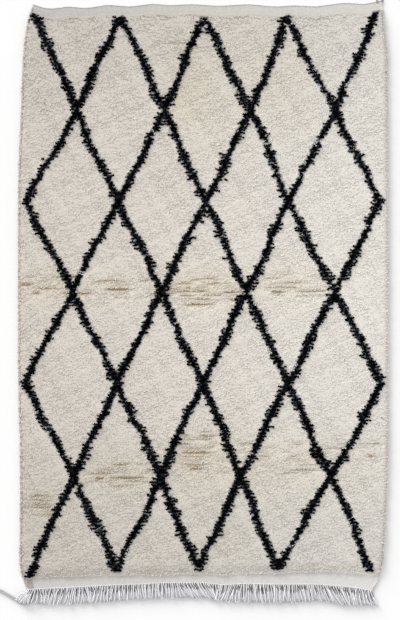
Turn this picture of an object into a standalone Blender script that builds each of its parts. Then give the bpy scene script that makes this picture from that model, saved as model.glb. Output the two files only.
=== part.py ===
"""A hand-knotted wool rug lying flat: one woven body, a warp fringe and a knotted corner cord.

Metres, +Z up. The origin is on the floor under the middle of the rug, +X is across it and +Y runs along it
from the fringed end to the plain end.
"""

import math
import random

import bmesh
import bpy
from mathutils import Euler, Matrix, Vector

# Driving dimensions
RUG_WIDTH = 1.600
RUG_LENGTH = 2.490  # of the woven body, without its fringe
GROUND_THICKNESS = 0.004  # the plain woven bands at both ends
PILE_TOP = 0.021  # height of the pile above the floor, out in the field
PILE_EDGE_DROP = 0.008  # how much lower the pile lies at its outer rim
PILE_RIM = 0.016  # the width over which the pile rounds down at a side
PILE_UNEVENNESS = 0.0012  # the soft swell and hollow of the pile
SWELL_ACROSS = 5.1  # radians a metre, of the swell's waves
SWELL_ALONG = 7.7
BOTTOM_BAND = 0.042  # plain weave below the pile
TOP_BAND = 0.040  # plain weave above the pile
BAND_STEP = 0.005  # the width over which the pile ends against a band
GAP = 0.0003  # between pieces that touch

COLUMNS = 44  # cells across the pile field
ROWS = 36  # cells along the pile field

FRINGE_LEFT = -0.712  # the comb starts clear of the corner cord
FRINGE_RIGHT = 0.726
FRINGE_GAP = 0.0005  # between the rug's edge and the comb, so that their corners clear
FRINGE_THICKNESS = 0.0035
FRINGE_HEADING = 0.006  # the twined strip that the strands hang from
STRAND_GROUPS = 104  # teeth of the comb, one for each cluster of strands
TOOTH_SHARE = 0.7  # a tooth's width at its root, as a share of the pitch
TOOTH_TAPER = 0.6  # a tooth's width at its tip, as a share of that at its root
FRINGE_UNEVEN_TIPS = 0.003
FRINGE_SPLAY = 0.022  # how far the strands at either end lean outwards
FRINGE_SWAY = 0.0015  # how far a single tooth leans off that

CORD_WIDTH = 0.015
CORD_THICKNESS = 0.008
KNOT_RADIUS = 0.012
BRUSH_RADIUS = 0.010
BRUSH_LENGTH = 0.030

# The two sides, from the fringed end up: distance along the rug, left edge, right edge
SIDES = (
    # y, left, right
    (-1.234, -0.759, 0.727),
    (-1.191, -0.774, 0.751),
    (-1.157, -0.787, 0.762),
    (-1.105, -0.792, 0.775),
    (-0.985, -0.789, 0.786),
    (-0.790, -0.788, 0.794),
    (-0.590, -0.790, 0.800),
    (-0.330, -0.797, 0.799),
    (0.050, -0.798, 0.800),
    (0.440, -0.797, 0.799),
    (0.615, -0.795, 0.798),
    (0.875, -0.783, 0.796),
    (1.045, -0.778, 0.796),
    (1.130, -0.772, 0.785),
    (1.215, -0.757, 0.777),
    (1.280, -0.733, 0.774),
)

# The plain end, left to right
TOP_EDGE = (
    # x, y
    (-0.800, 1.262),
    (-0.735, 1.284),
    (-0.700, 1.276),
    (-0.675, 1.264),
    (-0.630, 1.267),
    (-0.580, 1.275),
    (-0.505, 1.267),
    (-0.410, 1.282),
    (-0.310, 1.274),
    (-0.220, 1.287),
    (-0.145, 1.280),
    (-0.050, 1.285),
    (0.070, 1.277),
    (0.195, 1.285),
    (0.310, 1.274),
    (0.400, 1.280),
    (0.480, 1.274),
    (0.605, 1.291),
    (0.690, 1.285),
    (0.740, 1.294),
    (0.770, 1.300),
    (0.800, 1.300),
)

# The fringed end, left to right, along the twined line
BOTTOM_EDGE = (
    # x, y
    (-0.800, -1.234),
    (-0.755, -1.234),
    (-0.700, -1.230),
    (-0.600, -1.226),
    (-0.500, -1.220),
    (-0.400, -1.215),
    (-0.250, -1.209),
    (-0.160, -1.204),
    (-0.020, -1.203),
    (0.040, -1.208),
    (0.085, -1.214),
    (0.180, -1.208),
    (0.300, -1.211),
    (0.500, -1.211),
    (0.590, -1.219),
    (0.660, -1.226),
    (0.730, -1.240),
    (0.800, -1.242),
)

# The line that the fringe's tips reach, left to right
FRINGE_TIPS = (
    # x, y
    (-0.720, -1.290),
    (-0.580, -1.295),
    (-0.400, -1.284),
    (-0.200, -1.271),
    (0.000, -1.268),
    (0.110, -1.287),
    (0.380, -1.291),
    (0.510, -1.281),
    (0.600, -1.296),
    (0.730, -1.297),
)

# The corner cord lies on the floor: out from under the rug's corner, round, and away to the left
CORD_ROUTE = (
    # x, y
    (-0.728, -1.236),
    (-0.730, -1.252),
    (-0.735, -1.270),
    (-0.746, -1.286),
    (-0.762, -1.293),
    (-0.780, -1.289),
    (-0.800, -1.278),
    (-0.825, -1.263),
    (-0.850, -1.248),
    (-0.873, -1.236),
    (-0.895, -1.228),
    (-0.918, -1.226),
    (-0.940, -1.230),
)
CORD_STEPS = 3  # points for each stretch of the route


def read_off(table, at, column):
    """The table's value at a place along its first column, straight between its rows."""
    if at <= table[0][0]:
        return table[0][column]
    for low, high in zip(table, table[1:]):
        if at <= high[0]:
            share = (at - low[0]) / (high[0] - low[0])
            return low[column] + (high[column] - low[column]) * share
    return table[-1][column]


def rug_material(name, color, roughness):
    material = bpy.data.materials.new(name)
    material.use_nodes = True
    shader = material.node_tree.nodes["Principled BSDF"]
    shader.inputs["Base Color"].default_value = (*color, 1.0)
    shader.inputs["Roughness"].default_value = roughness
    shader.inputs["Metallic"].default_value = 0.0
    return material


def add_object(name, data, material, collection):
    made = bpy.data.objects.new(name, data)
    data.materials.append(material)
    collection.objects.link(made)
    return made


def cuts_across():
    """Shares of the width: a narrow cell at each rim, and even ones between."""
    rim = PILE_RIM / RUG_WIDTH
    inner = [rim + (1 - 2 * rim) * i / COLUMNS for i in range(COLUMNS + 1)]
    return [0.0, rim / 2, *inner, 1 - rim / 2, 1.0]


def cuts_along():
    """Distances from the fringed end's line, as shares of the length, with the band's steps among them."""
    first = (BOTTOM_BAND + 3 * BAND_STEP) / RUG_LENGTH
    last = 1 - (TOP_BAND + 3 * BAND_STEP) / RUG_LENGTH
    inner = [first + (last - first) * i / ROWS for i in range(ROWS + 1)]
    low = [0.0, (BOTTOM_BAND - BAND_STEP) / RUG_LENGTH, BOTTOM_BAND / RUG_LENGTH]
    high = [1 - TOP_BAND / RUG_LENGTH, 1 - (TOP_BAND - BAND_STEP) / RUG_LENGTH, 1.0]
    return [*low, *inner, *high]


def fringed_line():
    """The body's edge above the fringe, with a point at each of its cuts."""
    near_y = BOTTOM_EDGE[1][1]
    left, right = read_off(SIDES, near_y, 1), read_off(SIDES, near_y, 2)
    places = [left + (right - left) * share for share in cuts_across()]
    return [(x, read_off(BOTTOM_EDGE, x, 1)) for x in places]


def surface_height(x, y, from_side, from_bottom, from_top):
    """How high the rug's upper side is above the floor."""
    into_pile = min(from_bottom - (BOTTOM_BAND - BAND_STEP), from_top - (TOP_BAND - BAND_STEP))
    if into_pile < 1e-5:
        return GROUND_THICKNESS
    rise = min(1.0, into_pile / (3 * BAND_STEP)) ** 0.5
    rim = 1 - min(1.0, from_side / PILE_RIM)
    swell = math.sin(SWELL_ACROSS * x + math.sin(2 * y)) + math.sin(SWELL_ALONG * y - 2 * x)
    top = PILE_TOP - PILE_EDGE_DROP * rim * rim + PILE_UNEVENNESS * (swell / 2 - 0.5)
    return GROUND_THICKNESS + (top - GROUND_THICKNESS) * rise


def make_rug_body(collection):
    """A grid laid to the rug's outline, then raised to the height of weave and pile."""
    across, along = cuts_across(), cuts_along()
    mesh = bmesh.new()
    bmesh.ops.create_grid(mesh, x_segments=len(across) - 1, y_segments=len(along) - 1, size=0.5)
    height = mesh.verts.layers.float.new("height")
    for vertex in mesh.verts:
        share_x = across[round((vertex.co.x + 0.5) * (len(across) - 1))]
        share_y = along[round((vertex.co.y + 0.5) * (len(along) - 1))]
        near_y = BOTTOM_EDGE[1][1] + (TOP_EDGE[1][1] - BOTTOM_EDGE[1][1]) * share_y
        left, right = read_off(SIDES, near_y, 1), read_off(SIDES, near_y, 2)
        x = left + (right - left) * share_x
        bottom, top = read_off(BOTTOM_EDGE, x, 1), read_off(TOP_EDGE, x, 1)
        y = bottom + (top - bottom) * share_y
        vertex.co = (x, y, 0.0)
        from_side = min(x - left, right - x)
        vertex[height] = surface_height(x, y, from_side, y - bottom, top - y)
    raised = bmesh.ops.extrude_face_region(mesh, geom=mesh.faces[:])["geom"]
    for vertex in (part for part in raised if isinstance(part, bmesh.types.BMVert)):
        vertex.co.z = vertex[height]
    bmesh.ops.recalc_face_normals(mesh, faces=mesh.faces[:])
    data = bpy.data.meshes.new("rug_body")
    mesh.to_mesh(data)
    mesh.free()
    add_object("rug_body", data, rug_material("ivory wool pile", (0.70, 0.66, 0.60), 0.95), collection)


def make_fringe(collection):
    """One comb: a narrow heading under the rug's edge, and a tooth for each group of strands."""
    chance = random.Random(11)
    cells = 2 * STRAND_GROUPS - 1
    line = fringed_line()
    pitch = (FRINGE_RIGHT - FRINGE_LEFT) / STRAND_GROUPS
    mesh = bmesh.new()
    bmesh.ops.create_grid(mesh, x_segments=cells, y_segments=1, size=0.5)
    side_of = mesh.verts.layers.int.new("side")
    for vertex in mesh.verts:
        side = round((vertex.co.x + 0.5) * cells)
        vertex[side_of] = side
        x = FRINGE_LEFT + pitch * (side // 2 + TOOTH_SHARE * (side % 2))
        heading = FRINGE_HEADING if vertex.co.y < 0 else 0.0
        vertex.co = (x, read_off(line, x, 1) - FRINGE_GAP - heading, 0.0)
    low_edges = [
        edge
        for edge in mesh.edges
        if all(v.co.y < read_off(line, v.co.x, 1) - FRINGE_HEADING / 2 for v in edge.verts)
    ]
    for root in low_edges:
        if min(v[side_of] for v in root.verts) % 2:
            continue
        middle = sum(v.co.x for v in root.verts) / 2
        lean = FRINGE_SPLAY * (middle / FRINGE_RIGHT) ** 3 + chance.uniform(-1, 1) * FRINGE_SWAY
        tip_y = read_off(FRINGE_TIPS, middle, 1) + chance.uniform(-1, 1) * FRINGE_UNEVEN_TIPS
        grown = bmesh.ops.extrude_edge_only(mesh, edges=[root])["geom"]
        for vertex in (part for part in grown if isinstance(part, bmesh.types.BMVert)):
            vertex.co.x = middle + (vertex.co.x - middle) * TOOTH_TAPER + lean
            vertex.co.y = tip_y
    raised = bmesh.ops.extrude_face_region(mesh, geom=mesh.faces[:])["geom"]
    for vertex in (part for part in raised if isinstance(part, bmesh.types.BMVert)):
        vertex.co.z = FRINGE_THICKNESS
    bmesh.ops.recalc_face_normals(mesh, faces=mesh.faces[:])
    data = bpy.data.meshes.new("fringe")
    mesh.to_mesh(data)
    mesh.free()
    add_object("fringe", data, rug_material("cotton warp ends", (0.66, 0.66, 0.68), 0.9), collection)


def smooth_route(table, steps):
    """Points along a smooth curve through the table's points."""
    ends = [table[0], *table, table[-1]]
    found = []
    for before, start, end, after in zip(ends, ends[1:], ends[2:], ends[3:]):
        for step in range(steps):
            t = step / steps
            found.append(
                tuple(
                    b + 0.5 * t * (c - a + t * (2 * a - 5 * b + 4 * c - d + t * (3 * (b - c) + d - a)))
                    for a, b, c, d in zip(before, start, end, after)
                )
            )
    return [*found, table[-1]]


def make_corner_cord(collection, guides):
    """A flat plait on the floor, swept with an oval section."""
    section_curve = bpy.data.curves.new("cord_section", "CURVE")
    section_curve.dimensions = "2D"
    ring = section_curve.splines.new("POLY")
    sides = 10
    ring.points.add(sides - 1)
    for i, spot in enumerate(ring.points):
        turn = -2 * math.pi * i / sides
        spot.co = (CORD_WIDTH / 2 * math.cos(turn), CORD_THICKNESS / 2 * math.sin(turn), 0.0, 1.0)
    ring.use_cyclic_u = True
    section = bpy.data.objects.new("cord_section", section_curve)
    section.hide_render = True
    section.display_type = "WIRE"
    guides.objects.link(section)

    curve = bpy.data.curves.new("corner_cord", "CURVE")
    curve.dimensions = "3D"
    curve.twist_mode = "Z_UP"
    curve.bevel_mode = "OBJECT"
    curve.bevel_object = section
    curve.use_fill_caps = True
    line = curve.splines.new("POLY")
    points = smooth_route(CORD_ROUTE, CORD_STEPS)
    line.points.add(len(points) - 1)
    for spot, (x, y) in zip(line.points, points):
        spot.co = (x, y, CORD_THICKNESS / 2, 1.0)
    add_object("corner_cord", curve, rug_material("plaited warp", (0.50, 0.50, 0.51), 0.9), collection)


def make_knot(collection):
    """A turned knot with a flared brush of ends, laid along the cord's end and flattened to the cord's height."""
    profile = (
        # along, radius
        (0.0, 0.0),
        (0.002, 0.62 * KNOT_RADIUS),
        (0.45 * KNOT_RADIUS, 0.92 * KNOT_RADIUS),
        (KNOT_RADIUS, KNOT_RADIUS),
        (1.55 * KNOT_RADIUS, 0.85 * KNOT_RADIUS),
        (1.95 * KNOT_RADIUS, 0.45 * KNOT_RADIUS),
        (2.4 * KNOT_RADIUS, 0.5 * KNOT_RADIUS),
        (2 * KNOT_RADIUS + 0.6 * BRUSH_LENGTH, 0.85 * BRUSH_RADIUS),
        (2 * KNOT_RADIUS + BRUSH_LENGTH, BRUSH_RADIUS),
        (2 * KNOT_RADIUS + BRUSH_LENGTH, 0.0),
    )
    mesh = bmesh.new()
    line = [mesh.verts.new((radius, 0.0, -along)) for along, radius in profile]
    edges = [mesh.edges.new(pair) for pair in zip(line, line[1:])]
    bmesh.ops.spin(
        mesh,
        geom=[*line, *edges],
        cent=(0, 0, 0),
        axis=(0, 0, 1),
        angle=2 * math.pi,
        steps=12,
        use_merge=True,
    )
    bmesh.ops.remove_doubles(mesh, verts=mesh.verts[:], dist=1e-5)
    bmesh.ops.recalc_face_normals(mesh, faces=mesh.faces[:])
    end, before = Vector(CORD_ROUTE[-1]), Vector(CORD_ROUTE[-2])
    heading = (end - before).normalized()
    flatten = Matrix.Diagonal((1.0, 1.0, CORD_THICKNESS / CORD_WIDTH * 1.15, 1.0))
    laid = Euler((0.0, math.pi / 2, 0.0)).to_matrix().to_4x4()
    turned = Matrix.Rotation(math.atan2(heading.y, heading.x) + math.pi, 4, "Z")
    mesh.transform(turned @ flatten @ laid)
    lowest = min(vertex.co.z for vertex in mesh.verts)
    place = end + heading * GAP
    mesh.transform(Matrix.Translation((place.x, place.y, -lowest)))
    data = bpy.data.meshes.new("corner_cord_knot")
    mesh.to_mesh(data)
    mesh.free()
    add_object("corner_cord_knot", data, rug_material("knotted warp", (0.55, 0.55, 0.56), 0.9), collection)


for old in list(bpy.data.objects):
    bpy.data.objects.remove(old)
rug = bpy.data.collections.new("beni_ourain_rug")
guides = bpy.data.collections.new("guides")
bpy.context.scene.collection.children.link(rug)
bpy.context.scene.collection.children.link(guides)
make_rug_body(rug)
make_fringe(rug)
make_corner_cord(rug, guides)
make_knot(rug)
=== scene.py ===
"""A hand-knotted wool rug with a dark lattice, seen from straight above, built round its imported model."""

import math

import bmesh
import bpy
import numpy as np
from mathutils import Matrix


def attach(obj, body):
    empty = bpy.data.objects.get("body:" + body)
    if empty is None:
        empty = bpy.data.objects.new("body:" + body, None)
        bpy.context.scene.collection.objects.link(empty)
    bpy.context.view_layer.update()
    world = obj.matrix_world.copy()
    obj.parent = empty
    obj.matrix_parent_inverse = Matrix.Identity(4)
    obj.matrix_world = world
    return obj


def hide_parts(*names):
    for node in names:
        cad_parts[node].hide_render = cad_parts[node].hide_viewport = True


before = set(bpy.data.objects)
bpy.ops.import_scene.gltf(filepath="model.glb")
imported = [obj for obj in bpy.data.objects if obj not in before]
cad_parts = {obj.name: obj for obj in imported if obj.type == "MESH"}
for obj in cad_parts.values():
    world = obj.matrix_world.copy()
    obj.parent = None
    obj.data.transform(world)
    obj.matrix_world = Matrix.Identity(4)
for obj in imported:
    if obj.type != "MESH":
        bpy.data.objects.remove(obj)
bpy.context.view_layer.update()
scene = bpy.context.scene
bpy.ops.object.select_all(action="DESELECT")


# ------------------------
# The view and the light. The camera hangs high over the rug with a long lens and looks straight down,
# with the fringe at the bottom of the picture. Soft daylight comes from all round, and a broad low lamp
# from upper left.
# ------------------------
VIEW_LENGTH = 2.666  # metres of floor from the bottom of the picture to its top
VIEW_CENTRE = (-0.013, -0.030)
LENS, FILM = 200.0, 36.0


def feed(tree, node, inputs):
    """Gives each of these inputs of a node its value, or a link from another node's socket."""
    for name, value in inputs.items():
        if isinstance(value, bpy.types.NodeSocket):
            tree.links.new(value, node.inputs[name])
        else:
            node.inputs[name].default_value = value
    return node


def add_node(tree, kind, inputs=None, **settings):
    node = tree.nodes.new(kind)
    for name, value in settings.items():
        setattr(node, name, value)
    return feed(tree, node, inputs or {})


camera_data = bpy.data.cameras.new("overhead_view")
camera_data.lens = LENS
camera_data.sensor_width = FILM
camera_data.clip_end = 200.0
camera = bpy.data.objects.new("overhead_view", camera_data)
camera.location = (*VIEW_CENTRE, VIEW_LENGTH * LENS / FILM)
scene.collection.objects.link(camera)
scene.camera = camera

SKY_STRENGTH = 0.88
LAMP_STRENGTH = 3.35
LAMP_HEIGHT = math.radians(18)
LAMP_FROM = math.radians(124)
LAMP_SPREAD = math.radians(34)

world = bpy.data.worlds.new("daylight")
world.use_nodes = True
sky = {"Color": (1.0, 1.0, 1.0, 1.0), "Strength": SKY_STRENGTH}
feed(world.node_tree, world.node_tree.nodes["Background"], sky)
scene.world = world
scene.view_settings.view_transform = "Standard"

lamp_data = bpy.data.lights.new("broad_lamp", "SUN")
lamp_data.energy = LAMP_STRENGTH
lamp_data.angle = LAMP_SPREAD
lamp = bpy.data.objects.new("broad_lamp", lamp_data)
lamp.rotation_euler = (0.0, math.pi / 2 - LAMP_HEIGHT, LAMP_FROM)
scene.collection.objects.link(lamp)


# ------------------------
# The corner cord. The outermost warps at the lower left corner, plaited flat in three, which lie out on
# the floor and end in an overhand knot with a short brush of ends. Undyed grey-white wool.
# ------------------------
CORD_WIDTH = 0.015
CORD_ROUTE = (
    # x, y
    (-0.728, -1.236), (-0.730, -1.252), (-0.735, -1.270), (-0.746, -1.286), (-0.762, -1.293),
    (-0.780, -1.289), (-0.800, -1.278), (-0.825, -1.263), (-0.850, -1.248), (-0.873, -1.236),
    (-0.895, -1.228), (-0.918, -1.226), (-0.940, -1.230),
)
PLAIT_STRANDS = 3
PLAIT_PITCH = 0.030  # along the cord, for one strand to cross and come back
PLAIT_SWING = 0.0045
PLAIT_RISE = 0.0012
PLAIT_YARN = 0.0056
KNOT_YARN = 0.0062
KNOT_SIZE = 0.0031
KNOT_AHEAD = 0.012  # from the end of the route to the middle of the knot
KNOT_RISE = 0.0044  # how far the yarn climbs where it crosses over itself
BRUSH_YARNS = 16
BRUSH_YARN = 0.0019
BRUSH_START, BRUSH_LENGTH = 0.006, 0.030
BRUSH_NARROW, BRUSH_SPLAY, BRUSH_SWAY = 0.003, 0.008, 0.002
CORD_GREY = (0.46, 0.455, 0.46)
chance = np.random.default_rng(7)


def new_group(name, sockets):
    group = bpy.data.node_groups.new(name, "ShaderNodeTree")
    for way, kind, socket in sockets:
        group.interface.new_socket(name=socket, in_out=way, socket_type="NodeSocket" + kind)
    place = add_node(group, "ShaderNodeTexCoord").outputs["Object"]
    return group, add_node(group, "NodeGroupInput").outputs, place


def fibre_group():
    """The look of spun wool: a colour made uneven along the yarn, and the height of its fine fibres."""
    group, given, place = new_group(
        "spun_wool",
        (
            ("INPUT", "Color", "Color"),
            ("INPUT", "Float", "Fibres per Metre"),
            ("INPUT", "Float", "Unevenness"),
            ("OUTPUT", "Color", "Color"),
            ("OUTPUT", "Float", "Height"),
        ),
    )
    fine = {"Vector": place, "Scale": given["Fibres per Metre"], "Detail": 3.0, "Roughness": 0.65}
    fibres = add_node(group, "ShaderNodeTexNoise", fine)
    lumps = add_node(group, "ShaderNodeTexNoise", {"Vector": place, "Scale": 140.0, "Detail": 2.0})
    centred = add_node(group, "ShaderNodeMath", {0: lumps.outputs["Fac"], 1: 0.5}, operation="SUBTRACT")
    uneven = {0: centred.outputs[0], 1: given["Unevenness"], 2: 1.0}
    shade = add_node(group, "ShaderNodeMath", uneven, operation="MULTIPLY_ADD").outputs[0]
    tint = add_node(group, "ShaderNodeVectorMath", operation="SCALE")
    feed(group, tint, {0: given["Color"], "Scale": shade})
    add_node(group, "NodeGroupOutput", {"Color": tint.outputs[0], "Height": fibres.outputs["Fac"]})
    return group


spun_wool = fibre_group()


def wool_material(
    name, color=None, layer="yarn_tint_light_and_shade", fibres=900.0, unevenness=0.3, relief=0.0006, gloss=0.18
):
    """Matte wool of one dye, or of the tints that a layer of the mesh carries."""
    material = bpy.data.materials.new(name)
    material.use_nodes = True
    tree = material.node_tree
    if color:
        dye = (*color, 1.0)
    else:
        dye = add_node(tree, "ShaderNodeAttribute", attribute_name=layer).outputs["Color"]
    wool = add_node(tree, "ShaderNodeGroup", node_tree=spun_wool)
    feed(tree, wool, {"Color": dye, "Fibres per Metre": fibres, "Unevenness": unevenness})
    bump = {"Strength": 0.5, "Distance": relief, "Height": wool.outputs["Height"]}
    shader = {
        "Base Color": wool.outputs["Color"],
        "Normal": add_node(tree, "ShaderNodeBump", bump).outputs["Normal"],
        "Roughness": 0.92,
        "Specular IOR Level": gloss,
    }
    feed(tree, tree.nodes["Principled BSDF"], shader)
    return material


def spin_yarns(name, paths, thickness, wool, roundness=0):
    """Yarns of one thickness along several paths, as one mesh."""
    curve = bpy.data.curves.new(name, "CURVE")
    curve.dimensions = "3D"
    curve.bevel_depth = thickness / 2
    curve.bevel_resolution = roundness
    curve.use_fill_caps = True
    for path in paths:
        line = curve.splines.new("POLY")
        line.points.add(len(path) - 1)
        line.points.foreach_set("co", np.c_[path, np.ones(len(path))].astype(np.float32).ravel())
    yarns = bpy.data.objects.new(name, curve)
    scene.collection.objects.link(yarns)
    bpy.ops.object.select_all(action="DESELECT")
    yarns.select_set(True)
    bpy.context.view_layer.objects.active = yarns
    bpy.ops.object.convert(target="MESH")
    bpy.ops.object.mode_set(mode="EDIT")
    bpy.ops.mesh.select_all(action="SELECT")
    bpy.ops.mesh.remove_doubles(threshold=0.00001)
    bpy.ops.mesh.normals_make_consistent(inside=False)
    bpy.ops.object.mode_set(mode="OBJECT")
    bpy.ops.object.shade_smooth()
    yarns.data.materials.append(wool)
    return yarns


def smooth_line(table, spacing):
    """Points this far apart along a smooth curve through the table's points, with the way it runs at each."""
    rough = np.array(table, float)
    ends = np.vstack([2 * rough[0] - rough[1], rough, 2 * rough[-1] - rough[-2]])
    t = np.linspace(0, 1, 12, endpoint=False)[:, None]
    runs = [
        b + 0.5 * t * (c - a + t * (2 * a - 5 * b + 4 * c - d + t * (3 * (b - c) + d - a)))
        for a, b, c, d in zip(ends, ends[1:], ends[2:], ends[3:])
    ]
    fine = np.vstack([*runs, rough[-1:]])
    along = np.r_[0, np.cumsum(np.linalg.norm(np.diff(fine, axis=0), axis=1))]
    wanted = np.linspace(0, along[-1], max(2, round(along[-1] / spacing) + 1))
    points = np.c_[np.interp(wanted, along, fine[:, 0]), np.interp(wanted, along, fine[:, 1])]
    heading = np.gradient(points, axis=0)
    heading /= np.linalg.norm(heading, axis=1)[:, None]
    return points, heading, wanted


cord_height = PLAIT_RISE + PLAIT_YARN / 2
cord_points, cord_heading, cord_along = smooth_line(CORD_ROUTE, 0.0025)
cord_aside = np.c_[-cord_heading[:, 1], cord_heading[:, 0]]
plait = []
for strand in range(PLAIT_STRANDS):
    turn = 2 * np.pi * (cord_along / PLAIT_PITCH + strand / PLAIT_STRANDS)
    aside = (PLAIT_SWING * np.sin(turn))[:, None] * cord_aside
    plait.append(np.c_[cord_points + aside, cord_height + PLAIT_RISE * np.sin(2 * turn)])
cord_wool = wool_material("grey warp plait", CORD_GREY, fibres=1100.0, unevenness=0.5)
corner_cord = spin_yarns("corner_cord_plait", plait, PLAIT_YARN, cord_wool, roundness=2)

knot_turn = np.linspace(0, 2 * np.pi, 64)
knot_heading = cord_heading[-1]
knot_aside = cord_aside[-1]
knot_middle = cord_points[-1] + knot_heading * KNOT_AHEAD
knot_along = np.sin(knot_turn) + 2 * np.sin(2 * knot_turn)
knot_across = np.cos(knot_turn) - 2 * np.cos(2 * knot_turn)
knot_flat = knot_middle + KNOT_SIZE * (knot_along[:, None] * knot_heading + knot_across[:, None] * knot_aside)
knot_path = np.c_[knot_flat, KNOT_YARN / 2 + KNOT_RISE / 2 * (1 - np.sin(3 * knot_turn))]
corner_knot = spin_yarns("corner_cord_overhand_knot", [knot_path], KNOT_YARN, cord_wool, roundness=2)

brush = []
for yarn in range(BRUSH_YARNS):
    spread = chance.uniform(-1, 1)
    share = np.linspace(0, 1, 6)[:, None]
    reach = BRUSH_LENGTH * chance.uniform(0.8, 1.0)
    sway = BRUSH_SWAY * np.sin(share * 5 + chance.uniform(0, 6))
    aside = spread * (BRUSH_NARROW + BRUSH_SPLAY * share) + sway
    flat = knot_middle + knot_heading * (BRUSH_START + reach * share) + knot_aside * aside
    brush.append(np.c_[flat, 0.0012 + (0.003 + chance.uniform(0, 0.003)) * (1 - share)])
cord_brush = spin_yarns("corner_cord_brush", brush, BRUSH_YARN, cord_wool)

for piece in (corner_cord, corner_knot, cord_brush):
    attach(piece, "root")
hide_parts("corner_cord")
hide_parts("corner_cord_knot")


# ------------------------
# The ground. One woven cloth of fine wool weft on wool warp, plain at both ends and knotted between,
# where the back of each knot shows below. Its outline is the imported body's own, and the plain end's edge
# is turned under.
# ------------------------
GROUND_TOP = 0.0040
GROUND_THICKNESS = 0.0036
GROUND_CELLS = 88, 138  # across and along
GROUND_TUCK = 0.005  # how far its sides lie under the overcasting
PUCKER = 0.0005
WARP_SPACING, WEFT_SPACING = 0.004, 0.002
MEAN_WIDTH, MOST_WIDTH, BAND_WIDTH = 1.58, 1.60, 1.57  # on average, at most, and at the fringe
SELVEDGE_WIDTH = 0.011
BOTTOM_BANDS = (
    # along the fringed end, how deep the plain weave is there
    (-0.76, 0.052), (-0.50, 0.044), (-0.15, 0.034), (0.03, 0.037), (0.30, 0.047), (0.70, 0.062),
)
TOP_BAND = 0.036
HEM_DEPTH, HEM_RISE = 0.016, 0.0022
TOP_BAND_TINTS = np.array(((0.485, 0.470, 0.452), (0.605, 0.580, 0.545)))  # at the left and the right, for this band and the next; the left ones greyer, and darker as painted shade
BOTTOM_BAND_TINTS = np.array(((0.565, 0.540, 0.520), (0.650, 0.640, 0.625)))
ROOT_TINT = (0.60, 0.53, 0.42)
ROOTS_FROM_BOTTOM, ROOTS_FROM_TOP = 0.022, 0.030  # how deep under the pile its tint starts
DARK_TINT = (0.0022, 0.0024, 0.0040)
FIRST_ROW, LAST_ROW = -1.2215, 1.2755  # near the two ends, where both sides can still be read
BOTTOM_COLUMNS = (-0.755, 0.730)
TOP_COLUMNS = (-0.733, 0.772)

LATTICE = (
    # where the lines cross or end, row by row from the top, each as x, y
    ((-0.726, 1.246), (-0.355, 1.228), (0.005, 1.228), (0.360, 1.230), (0.742, 1.247)),
    ((-0.544, 0.828), (-0.166, 0.828), (0.205, 0.828), (0.568, 0.826)),
    ((-0.761, 0.436), (-0.366, 0.437), (0.012, 0.436), (0.368, 0.438), (0.755, 0.434)),
    ((-0.560, 0.050), (-0.179, 0.050), (0.185, 0.049), (0.566, 0.048)),
    ((-0.763, -0.342), (-0.371, -0.342), (-0.002, -0.344), (0.366, -0.344), (0.766, -0.346)),
    ((-0.555, -0.744), (-0.182, -0.744), (0.160, -0.744), (0.549, -0.744)),
    ((-0.755, -1.192), (-0.369, -1.152), (-0.024, -1.140), (0.322, -1.138), (0.722, -1.152)),
)
LINE_HALF_WIDTH = 0.0171
LINE_WANDER = 0.0070

body = bmesh.new()
body.from_mesh(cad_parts["rug_body"].data)
bmesh.ops.remove_doubles(body, verts=body.verts[:], dist=1e-5)
rim = [
    tuple(tuple(vertex.co) for vertex in edge.verts)
    for edge in body.edges
    if all(vertex.co.z < 1e-4 for vertex in edge.verts)
    and any(abs(face.normal.z) < 0.5 for face in edge.link_faces)
]
body.free()


def rim_reach(axis, at):
    """The rim's lowest and highest place along the other axis, where it crosses this one."""
    other = 1 - axis
    found = [
        a[other] + (at - a[axis]) * (b[other] - a[other]) / (b[axis] - a[axis])
        for a, b in rim
        if (a[axis] - at) * (b[axis] - at) <= 0 and abs(a[axis] - b[axis]) > 1e-9
    ]
    return min(found), max(found)


rows_read = np.linspace(FIRST_ROW, LAST_ROW, 300)
left_read, right_read = np.array([rim_reach(1, y) for y in rows_read]).T
columns_read = np.linspace(*BOTTOM_COLUMNS, 300)
bottom_read = np.array([rim_reach(0, x)[0] for x in columns_read])
columns_read_top = np.linspace(*TOP_COLUMNS, 300)
top_read = np.array([rim_reach(0, x)[1] for x in columns_read_top])


def on_rug(share_across, share_along):
    """Places on the rug from shares of its width and length, and the distances to its four edges."""
    near = FIRST_ROW + (LAST_ROW - FIRST_ROW) * share_along
    left, right = np.interp(near, rows_read, left_read), np.interp(near, rows_read, right_read)
    x = left + (right - left) * share_across
    bottom, top = np.interp(x, columns_read, bottom_read), np.interp(x, columns_read_top, top_read)
    y = bottom + (top - bottom) * share_along
    return x, y, x - left, right - x, y - bottom, top - y


lattice_lines = []
for upper, lower in zip(LATTICE, LATTICE[1:]):
    many, few = (upper, lower) if len(upper) > len(lower) else (lower, upper)
    lattice_lines += [(few[i], many[i + turn]) for i in range(len(few)) for turn in (0, 1)]


def band_depth(x):
    return np.interp(x, *np.array(BOTTOM_BANDS).T)


def line_offsets(x, y):
    """For each place, how far across the nearest lattice line is, in metres."""
    nearest = np.full(np.shape(x), 1.0)
    for number, ((x_a, y_a), (x_b, y_b)) in enumerate(lattice_lines):
        share = (y - y_a) / (y_b - y_a)
        bow = LINE_WANDER * np.sin(np.pi * share) * np.sin(5 * share + 2.4 * number)
        off = np.abs(x - (x_a + (x_b - x_a) * share + bow))
        nearest = np.where((share >= -0.01) & (share <= 1.01) & (off < nearest), off, nearest)
    return nearest


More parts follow.
